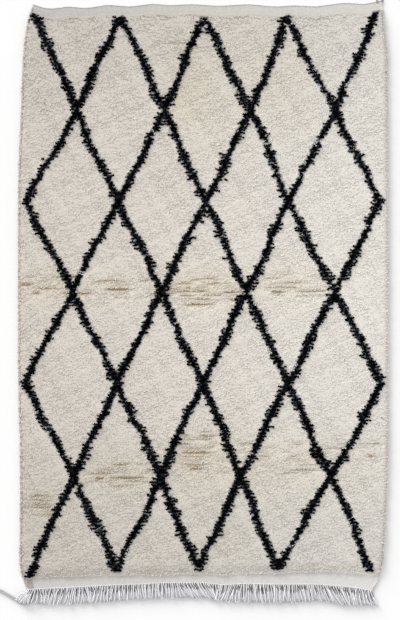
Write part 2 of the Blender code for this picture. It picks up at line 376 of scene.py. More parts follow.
def lay_grid(name, cells):
    """A flat grid of this many cells across and along, and each corner's share of the way both ways."""
    bpy.ops.mesh.primitive_grid_add(x_subdivisions=cells[0], y_subdivisions=cells[1], size=1)
    grid = bpy.context.object
    grid.name = grid.data.name = name
    flat = np.zeros(len(grid.data.vertices) * 3, np.float32)
    grid.data.vertices.foreach_get("co", flat)
    return grid, flat[0::3] + 0.5, flat[1::3] + 0.5


def shape_grid(grid, x, y, z):
    grid.data.vertices.foreach_set("co", np.c_[x, y, z].astype(np.float32).ravel())


def paint(mesh, name, tint):
    """Each corner's tint, as an attribute of the mesh."""
    layer = mesh.color_attributes.new(name, "FLOAT_COLOR", "POINT")
    layer.data.foreach_set("color", np.c_[tint, np.ones(len(tint))].astype(np.float32).ravel())


def thicken(grid, thickness):
    """Turns the grid, which is selected, into a solid sheet."""
    modifier = grid.modifiers.new("thickness", "SOLIDIFY")
    modifier.thickness = thickness
    modifier.offset = -1
    bpy.ops.object.modifier_apply(modifier="thickness")


ground, across, along = lay_grid("woven_ground", GROUND_CELLS)
x, y, from_left, from_right, from_bottom, from_top = on_rug(across, along)
x = x + GROUND_TUCK * ((from_left < 1e-6) * 1.0 - (from_right < 1e-6))
hem = np.clip(1 - np.abs(from_top - HEM_DEPTH / 2) / (HEM_DEPTH / 2), 0, 1)
bottom_band = band_depth(x)
pucker = PUCKER * np.sin(31 * x + 3 * np.sin(7 * x)) * (from_bottom < bottom_band) * (from_bottom > 1e-6)
shape_grid(ground, x, y, GROUND_TOP + HEM_RISE * np.sqrt(hem) + pucker)

in_field = (from_bottom > bottom_band + ROOTS_FROM_BOTTOM) & (from_top > TOP_BAND + ROOTS_FROM_TOP)
in_line = in_field & (line_offsets(x, y) < LINE_HALF_WIDTH + 0.004)
# the bands run from the left tint to the right one, darker at the left as painted shade
to_right = np.clip(x / 1.5 + 0.5, 0, 1)[:, None]
top_tint = TOP_BAND_TINTS[0] * (1 - to_right) + TOP_BAND_TINTS[1] * to_right
bottom_tint = BOTTOM_BAND_TINTS[0] * (1 - to_right) + BOTTOM_BAND_TINTS[1] * to_right
tint = np.where(in_field[:, None], ROOT_TINT, np.where(y[:, None] > 0, top_tint, bottom_tint))
tint = np.where(in_line[:, None], DARK_TINT, tint)
paint(ground.data, "weave_tint_and_shade", tint)
thicken(ground, GROUND_THICKNESS)
bpy.ops.object.shade_smooth_by_angle(angle=math.radians(50))


def weave_group():
    """Plain weave: the height of weft threads packed over warps, which swap sides from weft to weft."""
    group, _, place = new_group("plain_weave", (("OUTPUT", "Float", "Height"),))
    parts = add_node(group, "ShaderNodeSeparateXYZ", {0: place}).outputs

    def math_node(operation, *values):
        return add_node(group, "ShaderNodeMath", dict(enumerate(values)), operation=operation).outputs[0]

    along = math_node("DIVIDE", parts["Y"], WEFT_SPACING)
    weft_ridge = math_node("ABSOLUTE", math_node("SINE", math_node("MULTIPLY", along, math.pi)))
    weft_number = math_node("MODULO", math_node("FLOOR", along), 2.0)
    shifted = math_node("ADD", math_node("DIVIDE", parts["X"], WARP_SPACING), weft_number)
    over_under = math_node("SINE", math_node("MULTIPLY", shifted, math.pi))
    rise = math_node("MULTIPLY_ADD", over_under, 0.35, 0.65)
    add_node(group, "NodeGroupOutput", {"Height": math_node("MULTIPLY", weft_ridge, rise)})
    return group


weave = wool_material("ground weave", layer="weave_tint_and_shade", fibres=700.0, unevenness=0.35)
weave_nodes = weave.node_tree.nodes
threads = add_node(weave.node_tree, "ShaderNodeGroup", node_tree=weave_group()).outputs["Height"]
fibres = weave_nodes["Bump"].outputs["Normal"]
relief = {"Strength": 0.6, "Distance": 0.0007, "Height": threads, "Normal": fibres}
relief = add_node(weave.node_tree, "ShaderNodeBump", relief).outputs["Normal"]
feed(weave.node_tree, weave_nodes["Principled BSDF"], {"Normal": relief})
ground.data.materials.append(weave)
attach(ground, "root")
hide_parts("rug_body")


# ------------------------
# The overcast sides. Along each side a bundle of warps is wrapped round and round with wool yarn, which
# keeps the edge from fraying. Pinkish undyed wool on the left, paler on the right, lightened as painted light
# against the shade on that side.
# ------------------------
WRAP_PITCH = 0.0062
WRAP_YARN = 0.0044
WRAP_HEIGHT = 0.0036
POINTS_PER_WRAP = 7
WRAPS_FROM = 0.004  # past the first row that can be read
WRAPS_CLOSER = 0.996  # so that the last wrap ends before the last row
# the right tint is lightened as painted light against the shade on that side
SELVEDGE_TINTS = {"left": (0.52, 0.47, 0.45), "right": (0.78, 0.77, 0.75)}

for side, edge_read, inwards in (("left", left_read, 1), ("right", right_read, -1)):
    length = rows_read[-1] - rows_read[0]
    steps = np.arange(0, length / WRAP_PITCH * POINTS_PER_WRAP)
    y = rows_read[0] + WRAPS_FROM + steps / POINTS_PER_WRAP * WRAP_PITCH * WRAPS_CLOSER
    turn = 2 * np.pi * steps / POINTS_PER_WRAP
    wander = 0.0007 * np.sin(y * 83) + 0.0006 * np.sin(y * 212 + 1)
    half = (SELVEDGE_WIDTH - WRAP_YARN) / 2
    middle = np.interp(y, rows_read, edge_read) + inwards * (SELVEDGE_WIDTH / 2 + wander)
    rise = WRAP_HEIGHT + (WRAP_HEIGHT - WRAP_YARN / 2) * np.sin(turn)
    path = np.c_[middle + half * np.cos(turn), y, rise]
    wool = wool_material(f"{side} overcasting", SELVEDGE_TINTS[side], unevenness=0.5)
    selvedge = spin_yarns(f"overcast_{side}_edge", [path], WRAP_YARN, wool)
    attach(selvedge, "root")


# ------------------------
# The plain end's rim. Its turned edge is bound with one thin grey yarn, and where the warps were cut at
# the right corner two small tufts of them stand up, frayed. At the other end the left side's pinkish
# warps lie bare, and the right side rolls inwards in one smooth white bead.
# ------------------------
RIM_YARN = 0.0030
RIM_MARGIN, RIM_STEP = 0.004, 0.008  # from its ends to the corners, and from point to point
RIM_TINT = (0.43, 0.425, 0.42)
LOOSE_YARN = 0.0026  # of the tufts and the bare warps
TUFT_ROOTS = ((0.750, 1.288), (0.772, 1.290))
TUFT_YARNS = 7
TUFT_LENGTH = 0.017
TUFT_FAN, TUFT_BOW, TUFT_RISE = 0.0035, 0.0015, 0.003
TUFT_TINT = (0.36, 0.32, 0.30)
CORNER_WARPS = 6
CORNER_WARP_ROOT = (-0.758, -1.190)
CORNER_WARP_PITCH = 0.0042
CORNER_WARP_SLANT, CORNER_WARP_LENGTH = 0.010, 0.044
CORNER_WARP_TINT = (0.50, 0.41, 0.38)
ROLL_ENDS = (-1.238, -1.085)
ROLL_INSIDE, ROLL_HEIGHT = 0.002, 0.002  # its middle, from the rug's side and over the ground
ROLL_TURNS_IN, ROLL_TURN_FROM, ROLL_TURN_LENGTH = 0.010, -1.185, 0.05  # where it bends round the corner
ROLL_YARN = 0.0046
ROLL_TINT = (0.60, 0.59, 0.575)
rim_chance = np.random.default_rng(31)

rim_x = np.arange(columns_read_top[0] + RIM_MARGIN, columns_read_top[-1] - RIM_MARGIN, RIM_STEP)
rim_y = np.interp(rim_x, columns_read_top, top_read) - RIM_YARN * 0.4
rim_path = np.c_[rim_x, rim_y, np.full(len(rim_x), GROUND_TOP)]
rim_wool = wool_material("grey binding yarn", RIM_TINT, unevenness=0.9)
rim_yarn = spin_yarns("bound_rim", [rim_path], RIM_YARN, rim_wool)
tuft_yarns = []
for tuft_x, tuft_y in TUFT_ROOTS:
    for yarn in range(TUFT_YARNS):
        share = np.linspace(0, 1, 6)
        fan = rim_chance.normal(0, TUFT_FAN)
        reach = TUFT_LENGTH * rim_chance.uniform(0.7, 1.15)
        bow = rim_chance.normal(0, TUFT_BOW) * np.sin(np.pi * share)
        rise = GROUND_TOP + TUFT_RISE * share
        tuft_yarns.append(np.c_[tuft_x + fan * share + bow, tuft_y + reach * share, rise])
tuft_wool = wool_material("cut warp ends", TUFT_TINT, unevenness=1.2)
frayed_tufts = spin_yarns("frayed_tufts", tuft_yarns, LOOSE_YARN, tuft_wool)
warps = []
for warp in range(CORNER_WARPS):
    share = np.linspace(0, 1, 5)
    x = CORNER_WARP_ROOT[0] + CORNER_WARP_PITCH * warp + CORNER_WARP_SLANT * share
    x = x + rim_chance.normal(0, 0.0005, 5)
    warps.append(np.c_[x, CORNER_WARP_ROOT[1] - CORNER_WARP_LENGTH * share, np.full(5, GROUND_TOP + 0.0004)])
warp_wool = wool_material("pinkish warp yarn", CORNER_WARP_TINT, unevenness=1.2)
corner_warps = spin_yarns("corner_warps", warps, LOOSE_YARN, warp_wool)
roll_y = np.linspace(*ROLL_ENDS, 26)
turned_in = ROLL_TURNS_IN * np.clip((ROLL_TURN_FROM - roll_y) / ROLL_TURN_LENGTH, 0, 1) ** 2
roll_x = np.interp(roll_y, rows_read, right_read) - ROLL_INSIDE - turned_in
roll_path = np.c_[roll_x, roll_y, np.full(len(roll_y), GROUND_TOP + ROLL_HEIGHT)]
roll_wool = wool_material("white overcasting", ROLL_TINT)
corner_roll = spin_yarns("rolled_corner", [roll_path], ROLL_YARN, roll_wool, roundness=1)
for piece in (rim_yarn, frayed_tufts, corner_warps, corner_roll):
    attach(piece, "root")


# ------------------------
# The mass of the pile. Knotted wool stands so thick that only its outer part can be told as locks, and
# below that it packs into one soft body, which rolls down at its edges. It turns golden where rows of
# knots part, darkened there as painted shade, and its tint carries painted shade and painted light.
# ------------------------
FIELD_INSET = 0.0025
MASS_CELLS = 134, 206  # across and along
MASS_HEIGHT = 0.0164
MASS_UNEVENNESS = 0.0009
MASS_ROLL = 0.009
MASS_END_ROLL = 0.048
MASS_HEAD_ROLL = 0.012
MASS_RIM_DEPTHS = (0.003, 0.001)  # how deep its rim lies in the ground, in the upper and the lower half
MASS_END_PAINTED_LIGHT = 0.3  # painted light where it rolls down to the fringed end, against the shade of that slope
FELT_TINT = np.array((0.755, 0.718, 0.655))
# golden wool where rows part, darkened as painted shade of the opening
GOLD_AND_SHADE_TINT = np.array((0.34, 0.25, 0.135))
LEFT_SHADED_TONE = np.array((0.840, 0.818, 0.803))  # greyer and pinker, and darker as painted shade towards the left
# lighter at the right: with the left tone, a painted shade falling off towards the left
RIGHT_LIT_TONE = np.array((0.985, 0.983, 0.990))
PATCHINESS = 0.03
WAVES = (13, 29, 61)  # a metre, times 2 pi, of the slow unevenness
BESIDE_LINES, BESIDE_REACH = np.array((0.030, 0.050, 0.080)), 0.016  # whiter and bluer beside a line
EDGE_PAINTED_SHADE, EDGE_REACH = np.array((0.20, 0.26, 0.28)), 0.022  # painted shade along the left side, pinker too
HEAD_PAINTED_SHADE, HEAD_AT, HEAD_REACH = np.array((0.46, 0.46, 0.45)), 0.004, 0.018  # painted shade beside the plain end
YELLOWER = np.array((0.0, 0.25, 1.2))
PARTED_PITCH = 0.0180
PARTED_DEPTH = 0.0065
PARTED_DIP = 0.009  # how far to either side the mass dips towards a parting
PARTING_LENGTHS = (0.022, 0.190)
PARTING_REACH = 0.010
pile_chance = np.random.default_rng(21)

PARTED_ZONES = (
    # x and y of the middle, how far it reaches each way along both, the share of each row that is parted
    (-0.700, 0.075, 0.095, 0.060, 0.50),
    (-0.365, 0.070, 0.155, 0.055, 0.55),
    (-0.010, 0.050, 0.160, 0.063, 0.90),
    (0.350, 0.080, 0.145, 0.055, 0.60),
    (-0.010, -0.640, 0.150, 0.100, 0.55),
    (-0.370, -0.740, 0.150, 0.055, 0.75),
    (-0.700, -0.870, 0.100, 0.055, 0.55),
    (0.380, -0.670, 0.210, 0.070, 0.50),
    (0.660, -0.660, 0.100, 0.060, 0.30),
    (-0.100, 1.140, 0.110, 0.070, 0.08),
)
WARM_PATCHES = (
    # x and y of the middle, how far it reaches each way along both, how much yellower the wool is
    (-0.700, 0.075, 0.14, 0.10, 0.06),
    (-0.365, 0.070, 0.17, 0.09, 0.05),
    (-0.010, 0.065, 0.17, 0.10, 0.09),
    (0.350, 0.080, 0.17, 0.09, 0.05),
    (0.000, 0.950, 0.15, 0.30, 0.06),
    (-0.090, 0.900, 0.06, 0.16, 0.04),
    (0.330, 0.980, 0.15, 0.22, 0.04),
    (0.000, -0.670, 0.26, 0.14, 0.06),
    (-0.370, -0.740, 0.19, 0.10, 0.06),
    (-0.700, -0.870, 0.14, 0.09, 0.06),
    (0.440, -0.700, 0.30, 0.12, 0.05),
    (0.000, -1.010, 0.20, 0.10, 0.03),
)
PAINTED_SHADE_ALONG = (
    # y, how light the wool is painted: painted shade, darker towards both ends
    (-1.2, 0.81), (-0.9, 0.845), (-0.5, 0.91), (0.0, 0.955), (0.4, 0.94), (0.75, 0.915), (1.2, 0.84),
)


def wavering(values, seed):
    """A smooth, uneven number between -1 and 1 along these values."""
    waves = np.random.default_rng(seed)
    return sum(np.sin(values * k * waves.uniform(0.8, 1.25) + waves.uniform(0, 6.3)) for k in WAVES) / 3


partings = []  # the x of its middle, its half length, its y, its slope, its curve and how wide it opens
for x_middle, y_middle, reach_x, reach_y, parted_share in PARTED_ZONES:
    for step in range(round(2 * reach_y / PARTED_PITCH)):
        line_y = y_middle - reach_y + (step + 0.5) * PARTED_PITCH
        wide = reach_x * math.sqrt(max(0.05, 1 - ((line_y - y_middle) / reach_y) ** 2))
        px = x_middle - wide + pile_chance.uniform(0, 0.05 / parted_share)
        while px < x_middle + wide:
            half = pile_chance.uniform(*PARTING_LENGTHS) / 2
            px += half
            py = line_y + 0.002 * math.sin(9 * px + step) + pile_chance.normal(0, 0.0012)
            opens = pile_chance.uniform(0.3, 1.0)
            slope = 0.018 * math.cos(9 * px + step)
            partings.append((px, half, py, slope, pile_chance.normal(0, 0.5), opens))
            px += half + 2 * half * (1 / parted_share - 1) * pile_chance.uniform(0.3, 1.7)


def tone_and_painted_shade(x, y, from_line, from_left, from_top):
    """How the wool's tone drifts over the rug, with painted shade darker towards the left, both ends, the
    left side and the plain end, and whiter beside the lattice.
    """
    across = np.clip(x / MOST_WIDTH + 0.5, 0, 1)[:, None]
    # painted shade, darker towards the left and towards both ends
    shade_and_warmth = (LEFT_SHADED_TONE * (1 - across) + RIGHT_LIT_TONE * across) * np.interp(y, *np.array(PAINTED_SHADE_ALONG).T)[:, None]
    patch = PATCHINESS * wavering(x * 0.45 + 0.3 * y, 8) * wavering(y * 0.35, 9)
    for x_middle, y_middle, reach_x, reach_y, yellower in WARM_PATCHES:
        inside = np.exp(-(((x - x_middle) / reach_x) ** 2) - ((y - y_middle) / reach_y) ** 2)[:, None]
        shade_and_warmth = shade_and_warmth * (1 - inside * yellower * YELLOWER)
    beside = BESIDE_LINES * np.clip(1 - (from_line - LINE_HALF_WIDTH) / BESIDE_REACH, 0, 1)[:, None]
    # painted shade along the left side
    edge = EDGE_PAINTED_SHADE * np.clip(1 - from_left / EDGE_REACH, 0, 1)[:, None]
    # painted shade beside the plain end
    head = HEAD_PAINTED_SHADE * np.clip(1 - np.abs(from_top - TOP_BAND - HEAD_AT) / HEAD_REACH, 0, 1)[:, None]
    return shade_and_warmth * (1 + patch[:, None]) * (1 + beside) * (1 - edge) * (1 - head)


def parting_offsets(x, y):
    """How far above the nearest parting each place is, and how open that parting is there, from 0 to 1."""
    above, openness = np.full(len(x), 1.0), np.zeros(len(x))
    order = np.argsort(x)
    sorted_x = x[order]
    for px, half, py, slope, curve, widest in partings:
        near = order[np.searchsorted(sorted_x, px - half) : np.searchsorted(sorted_x, px + half)]
        dx = x[near] - px
        off = y[near] - (py + slope * dx + curve * dx * dx)
        opens = widest * np.sqrt(np.clip(1 - (dx / half) ** 2, 0, 1))
        closer = (np.abs(off) < np.abs(above[near])) & (np.abs(off) < PARTING_REACH)
        above[near[closer]] = off[closer]
        openness[near[closer]] = opens[closer]
    return above, openness


rug_length = LAST_ROW - FIRST_ROW
last_share = 1 - (TOP_BAND - 0.002) / rug_length


def on_field(across, along, inset):
    """As on_rug, from shares of the pile's own width and length, and how deep the plain band is there."""
    across = inset / MEAN_WIDTH + (1 - 2 * inset / MEAN_WIDTH) * across
    first = (band_depth(BAND_WIDTH * (across - 0.5)) - 0.001) / rug_length
    places = on_rug(across, first + (last_share - first) * along)
    return *places, band_depth(places[0])


mass, across, along = lay_grid("pile_mass", MASS_CELLS)
x, y, from_left, from_right, from_bottom, from_top, end_band = on_field(across, along, FIELD_INSET)
rolled = 1.0
for reach in ((from_left - FIELD_INSET) / MASS_ROLL, (from_right - FIELD_INSET) / MASS_ROLL):
    rolled = rolled * np.sqrt(np.clip(1 - (1 - np.clip(reach, 0, 1)) ** 2, 0, 1))
head_roll = (from_top - TOP_BAND + 0.002) / MASS_HEAD_ROLL
for reach in ((from_bottom - end_band + 0.001) / MASS_END_ROLL, head_roll):
    rolled = rolled * (1 - (1 - np.clip(reach, 0, 1)) ** 2)
above, openness = parting_offsets(x, y)
parted = openness * np.clip(1 - np.abs(above) / PARTED_DIP, 0, 1)
uneven = MASS_UNEVENNESS * (wavering(x * 1.7 + y, 3) + wavering(y * 2.1 - x, 4))
base = GROUND_TOP - np.where(y > 0, *MASS_RIM_DEPTHS)
shape_grid(mass, x, y, base + (MASS_HEIGHT - base + uneven - PARTED_DEPTH * parted) * rolled)
offset = line_offsets(x, y)
# golden where the rows part, darkened as painted shade of the opening
golden = np.clip(parted * 1.3, 0, 1)[:, None] ** 2
tint = (FELT_TINT * (1 - golden) + GOLD_AND_SHADE_TINT * golden) * tone_and_painted_shade(x, y, offset, from_left, from_top)
# painted light where the mass rolls down to the fringed end, against the shade of its slope
tint *= 1 + MASS_END_PAINTED_LIGHT * np.clip(1 - (from_bottom - end_band) / MASS_END_ROLL, 0, 1)[:, None] ** 2
paint(mass.data, "yarn_tint_light_and_shade", np.where((offset < LINE_HALF_WIDTH - 0.003)[:, None], DARK_TINT, tint))
bpy.ops.object.mode_set(mode="EDIT")
bpy.ops.mesh.select_all(action="SELECT")
bpy.ops.mesh.region_to_loop()
bpy.ops.mesh.edge_face_add()
bpy.ops.mesh.select_all(action="SELECT")
bpy.ops.mesh.normals_make_consistent(inside=False)
bpy.ops.object.mode_set(mode="OBJECT")
bpy.ops.object.shade_smooth_by_angle(angle=math.radians(70))
mass_wool = wool_material("matted pile wool", fibres=330.0, relief=0.0030)
mass.data.materials.append(mass_wool)
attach(mass, "root")


# ------------------------
# The locks of the pile. Rows of knots of hand-spun ivory wool, each knot with two ends that stand out of
# the mass, lean over towards the fringe and fall to either side. The lattice is knotted in blue-black
# wool in the same rows.
# ------------------------
KNOT_PITCH, ROW_PITCH = 0.0070, 0.0140
FIELD_WIDTH, BOTTOM_BAND = 1.56, 0.045  # on average, to count the knots by
IVORY_STRAY, DARK_STRAY = 0.95, 0.5  # how far a knot lies from its row, as a share of the pitch
HEAD_MARGIN, SIDE_MARGIN = 0.007, 0.012  # of the knots at the plain end, and of the dark ones at the sides
BLOCKS, BLOCK_WIDTH = 20, 0.11  # the widths over which a line keeps one sway and growth in a row
ROW_SWAY = (0.0036, 0.0040, 0.0024)  # drifting slowly, in pairs of rows, and row by row
ROW_GROWTH = (0.0026, 0.0028, 0.0024)
LOCK_BASE, LOCK_LOWEST = 0.0105, 0.002
LOCK_HEIGHT = 0.0072
LOCK_WIDTH = 0.0060
LOCK_RADIUS, LOCK_BELLY = 0.42, 3.7  # of the cone it starts from, and how much its shoulder swells
LOCK_SHOULDER = 0.66  # where along its length a lock is thickest
LOCK_SPLAY, LOCK_LEAN, LOCK_UNEVEN = 0.0016, -0.0070, (0.0019, 0.0024)
ENDS_APART, ENDS_UNEVEN = 0.0018, 0.0012
DARK_LOCK_HEIGHT, DARK_LOCK_RISE = 0.0095, 0.0015
DARK_LEAN, DARK_THICKER = (1.15, 0.8), 2.0
PARTED_REACH, PARTED_GAP, PARTED_LEAN = 0.0075, 0.0024, 0.0030
IVORY_TINT = np.array((0.855, 0.829, 0.783))
GRAIN, GRAIN_ROWS = 0.028, 5  # how uneven the wool's shade is from column to column, and for how many rows
SHADE_UNEVEN, WARMTH_UNEVEN = 0.024, 0.015
LAST_ROWS_PAINTED_LIGHT = 0.38  # painted light on the rows beside the fringe, against the shade of the pile's sloping end
HANKS = 4

FLECKS = (
    # burrs and wisps of darker wool: x, y, how far one reaches, what is left of the red, green and blue
    (-0.743, 1.217, 0.0120, (0.08, 0.04, 0.03)),
    (-0.679, 0.976, 0.0055, (0.45, 0.42, 0.40)),
    (-0.709, 0.920, 0.0055, (0.50, 0.44, 0.38)),
    (-0.679, 0.864, 0.0050, (0.45, 0.42, 0.40)),
    (0.202, 1.204, 0.0050, (0.50, 0.44, 0.38)),
    (0.783, 0.993, 0.0060, (0.40, 0.38, 0.38)),
    (-0.735, -0.666, 0.0060, (0.45, 0.42, 0.40)),
    (-0.744, -0.740, 0.0060, (0.35, 0.34, 0.34)),
    (0.611, -0.236, 0.0055, (0.45, 0.40, 0.34)),
    (0.540, -0.469, 0.0055, (0.40, 0.36, 0.30)),
    (0.770, -0.486, 0.0060, (0.40, 0.38, 0.38)),
    (-0.748, -0.095, 0.0050, (0.50, 0.46, 0.42)),
    (-0.146, 0.396, 0.0050, (0.50, 0.44, 0.38)),
)

bpy.ops.mesh.primitive_cone_add(
    vertices=3, radius1=LOCK_RADIUS, radius2=0, depth=1, end_fill_type="NOTHING", location=(0, 0, 0.5)
)
lock = bpy.context.object
bpy.ops.object.transform_apply(location=True)
bpy.ops.object.mode_set(mode="EDIT")
bpy.ops.mesh.select_all(action="SELECT")
bpy.ops.mesh.bisect(plane_co=(0, 0, LOCK_SHOULDER), plane_no=(0, 0, 1))
bpy.ops.transform.resize(value=(LOCK_BELLY, LOCK_BELLY, 1))
bpy.ops.mesh.select_all(action="SELECT")
bpy.ops.mesh.quads_convert_to_tris()
bpy.ops.object.mode_set(mode="OBJECT")
lock_points = np.array([vertex.co for vertex in lock.data.vertices])
lock_faces = np.array([polygon.vertices for polygon in lock.data.polygons])
bpy.data.objects.remove(lock)


def lay_locks(name, roots, lean, height, width, root_tint, tip_tint):
    """Copies of the lock, each bent over from its root by its own lean, joined as one mesh."""
    count, corners = len(roots), len(lock_points)
    h = lock_points[:, 2][None, :, None]
    end = np.c_[lean, height]
    bend = np.c_[lean * 0.18, height * 0.86]
    centre = roots[:, None] + 2 * h * (1 - h) * bend[:, None] + h * h * end[:, None]
    along = 2 * (1 - h) * bend[:, None] + 2 * h * (end - bend)[:, None]
    along /= np.linalg.norm(along, axis=2, keepdims=True)
    sideways = np.c_[-lean[:, 1], lean[:, 0], np.zeros(count)]
    sideways /= np.linalg.norm(sideways, axis=1, keepdims=True)
    sideways = np.repeat(sideways[:, None], corners, axis=1)
    outwards = np.cross(sideways, along)
    spin = pile_chance.uniform(0, 2 * np.pi, (count, 1))
    a, b = lock_points[:, 0][None], lock_points[:, 1][None]
    turned_a, turned_b = a * np.cos(spin) - b * np.sin(spin), a * np.sin(spin) + b * np.cos(spin)
    points = centre + (turned_a[..., None] * sideways + turned_b[..., None] * outwards) * width[:, None, None]
    points[..., 2] = np.maximum(points[..., 2], 0.0012)
    faces = (lock_faces[None] + corners * np.arange(count)[:, None, None]).reshape(-1, 3)
    mesh = bpy.data.meshes.new(name)
    mesh.from_pydata(points.reshape(-1, 3), [], faces, shade_flat=False)
    ripeness = np.clip(h * 1.25, 0, 1) ** 1.2
    tint = root_tint[:, None] * (1 - ripeness) + tip_tint[:, None] * ripeness
    paint(mesh, "yarn_tint_light_and_shade", tint.reshape(-1, 3))

    cells = math.ceil(math.sqrt(count))  # each lock has its own cell of the chart
    cell = np.c_[np.arange(count) % cells, np.arange(count) // cells][:, None]
    around = np.arctan2(lock_points[:, 1], lock_points[:, 0]) / (2 * np.pi) % 1
    inside = np.c_[0.12 + 0.76 * around, 0.1 + 0.8 * lock_points[:, 2]][None]
    spots = ((cell + inside) / cells).reshape(-1, 2)
    chart = mesh.uv_layers.new(name="OFBake")
    chart.data.foreach_set("uv", spots[faces.ravel()].astype(np.float32).ravel())
    piece = bpy.data.objects.new(name, mesh)
    scene.collection.objects.link(piece)
    return piece


row_count = round((rug_length - TOP_BAND - BOTTOM_BAND) / ROW_PITCH)
knots_in_row = round(FIELD_WIDTH / KNOT_PITCH)
row, column = np.meshgrid(np.arange(row_count), np.arange(knots_in_row), indexing="ij")
row, column = row.ravel(), column.ravel()
jitter = pile_chance.uniform(-0.5, 0.5, (2, len(row)))
share_across = (column + 0.5 + 0.7 * jitter[1]) / knots_in_row
knots = on_field(share_across, (row + 0.9) / row_count, FIELD_INSET + 0.001)
knot_x, knot_y, from_left, from_right, from_bottom, from_top, end_band = knots
from_end = np.minimum(from_bottom - end_band, (from_top - TOP_BAND) * MASS_END_ROLL / MASS_HEAD_ROLL)
from_side = np.minimum(from_left, from_right)
knot_y = knot_y + 0.0016 * np.sin(11 * knot_x + row * 0.05) + 0.001 * np.sin(37 * knot_x + row * 0.3)

block = ((knot_x + 0.9) / BLOCK_WIDTH).astype(int)
slow = pile_chance.normal(0, 1, (2, row_count + 3, BLOCKS))
slow = (slow[:, 3:] + slow[:, 2:-1] + slow[:, 1:-2] + slow[:, :-3]) / 2
pairs = np.repeat(pile_chance.normal(0, 1, (2, row_count // 2 + 1, BLOCKS)), 2, axis=1)[:, :row_count]
row_sway, row_growth = (
    (slowly * slow[k] + paired * pairs[k] + pile_chance.normal(0, alone, (row_count, BLOCKS)))[row, block]
    for k, (slowly, paired, alone) in enumerate((ROW_SWAY, ROW_GROWTH))
)
offset = line_offsets(knot_x + row_sway, knot_y)
dark = (offset < LINE_HALF_WIDTH + row_growth) & (from_side > SIDE_MARGIN)
stray = np.where(dark, DARK_STRAY, IVORY_STRAY) * ROW_PITCH * jitter[0]
knot_y = knot_y + np.minimum(stray, from_top - TOP_BAND - HEAD_MARGIN)

two = np.repeat(np.arange(len(row)), 2)
end_of_knot = np.tile([-1.0, 1.0], len(row))
count = len(two)
is_dark = dark[two]
root_x = knot_x[two] + ENDS_APART * end_of_knot
root_y = knot_y[two] + pile_chance.normal(0, ENDS_UNEVEN, count)
above, openness = parting_offsets(root_x, root_y)
pushed = openness * np.clip(1 - np.abs(above) / PARTED_REACH, 0, 1) * ~is_dark
root_y = root_y + np.sign(above) * PARTED_GAP * pushed
low_end = 1 - np.clip((from_end[two] + 0.001) / MASS_END_ROLL, 0, 1)
low_side = 1 - np.clip((from_side[two] + 0.002) / MASS_ROLL, 0, 1)
sunk = np.clip(low_end**2 + 0.6 * low_side**2, 0, 1)
roots = np.c_[root_x, root_y, (LOCK_BASE + DARK_LOCK_RISE * is_dark) * (1 - sunk) + LOCK_LOWEST * sunk]
lean = np.c_[
    end_of_knot * LOCK_SPLAY + pile_chance.normal(0, LOCK_UNEVEN[0], count),
    LOCK_LEAN + pile_chance.normal(0, LOCK_UNEVEN[1], count),
]
lean[:, 1] += PARTED_LEAN * (1 + np.sign(above)) * pushed
height = LOCK_HEIGHT * pile_chance.uniform(0.88, 1.06, count) * (1 - 0.15 * pushed)
width = LOCK_WIDTH * pile_chance.uniform(0.8, 1.15, count)
lean[is_dark] *= DARK_LEAN
lean[:, 0] += 0.003 * low_side * np.sign(root_x)
width[is_dark] *= DARK_THICKER
height[is_dark] *= DARK_LOCK_HEIGHT / LOCK_HEIGHT

# the wool's tone, with its painted shade and painted light
tone_and_shade = tone_and_painted_shade(root_x, root_y, offset[two], from_left[two], from_top[two])
grain = pile_chance.normal(0, GRAIN, (knots_in_row, row_count // GRAIN_ROWS + 2))
grain = grain[column, (row + 5 * column) % row_count // GRAIN_ROWS][two]
shade = 1 + grain + pile_chance.normal(0, SHADE_UNEVEN, count)
warmth = pile_chance.normal(0, WARMTH_UNEVEN, count)
tip_tint = IVORY_TINT * shade[:, None] * np.c_[1 + warmth * 0.3, np.ones(count), 1 - warmth]
# golden roots beside a parting, darkened as painted shade of the opening
golden = pushed[:, None] ** 2
root_tint = FELT_TINT * (1 - golden) + GOLD_AND_SHADE_TINT * golden
# painted light on the last rows beside the fringe, against the shade of the sloping end
painted_light = (1 + LAST_ROWS_PAINTED_LIGHT * low_end**2 * (root_y < 0))[:, None]
tip_tint, root_tint = tip_tint * tone_and_shade * painted_light, root_tint * tone_and_shade * painted_light
black = np.array(DARK_TINT) * (pile_chance.uniform(0.2, 1.0, count) ** 8 * 16)[:, None]
tip_tint[is_dark], root_tint[is_dark] = black[is_dark], black[is_dark] * 0.6
tip_tint = np.clip(tip_tint, 0, 0.95)

for fleck_x, fleck_y, reach, brown in FLECKS:
    stained = (np.hypot(root_x - fleck_x, root_y - fleck_y) < reach) & ~is_dark
    tip_tint[stained] *= brown
    root_tint[stained] *= brown

ivory_wool = wool_material("ivory pile wool", fibres=650.0, unevenness=0.25)
dark_wool = wool_material(
    "blue-black pile wool", fibres=650.0, unevenness=0.4, relief=0.0009, gloss=0.03
)
hank = np.where(is_dark, HANKS, pile_chance.integers(0, HANKS, count))
for number in range(HANKS + 1):
    name = "dark_lattice_pile" if number == HANKS else f"ivory_pile_hank_{number + 1}"
    of_these = (values[hank == number] for values in (roots, lean, height, width, root_tint, tip_tint))
    piece = lay_locks(name, *of_these)
    piece.data.materials.append(dark_wool if number == HANKS else ivory_wool)
    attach(piece, "root")


# ------------------------
# The parted rows. Where two rows of knots part, the yarn of the lower row shows along the opening, golden
# brown, darkened as painted shade of the opening. It comes and goes under the locks that fall across
# it.
# ------------------------
PARTED_YARN = 0.0027
PARTED_YARN_TOP = 0.0176
PARTED_YARN_STEP = 0.006
LINE_MARGIN, EDGE_MARGIN = 0.002, 0.014  # how far it stays from the lattice and from the rug's sides
# golden brown, darkened as painted shade of the opening
PARTED_TINT_AND_SHADE = (0.43, 0.28, 0.14)

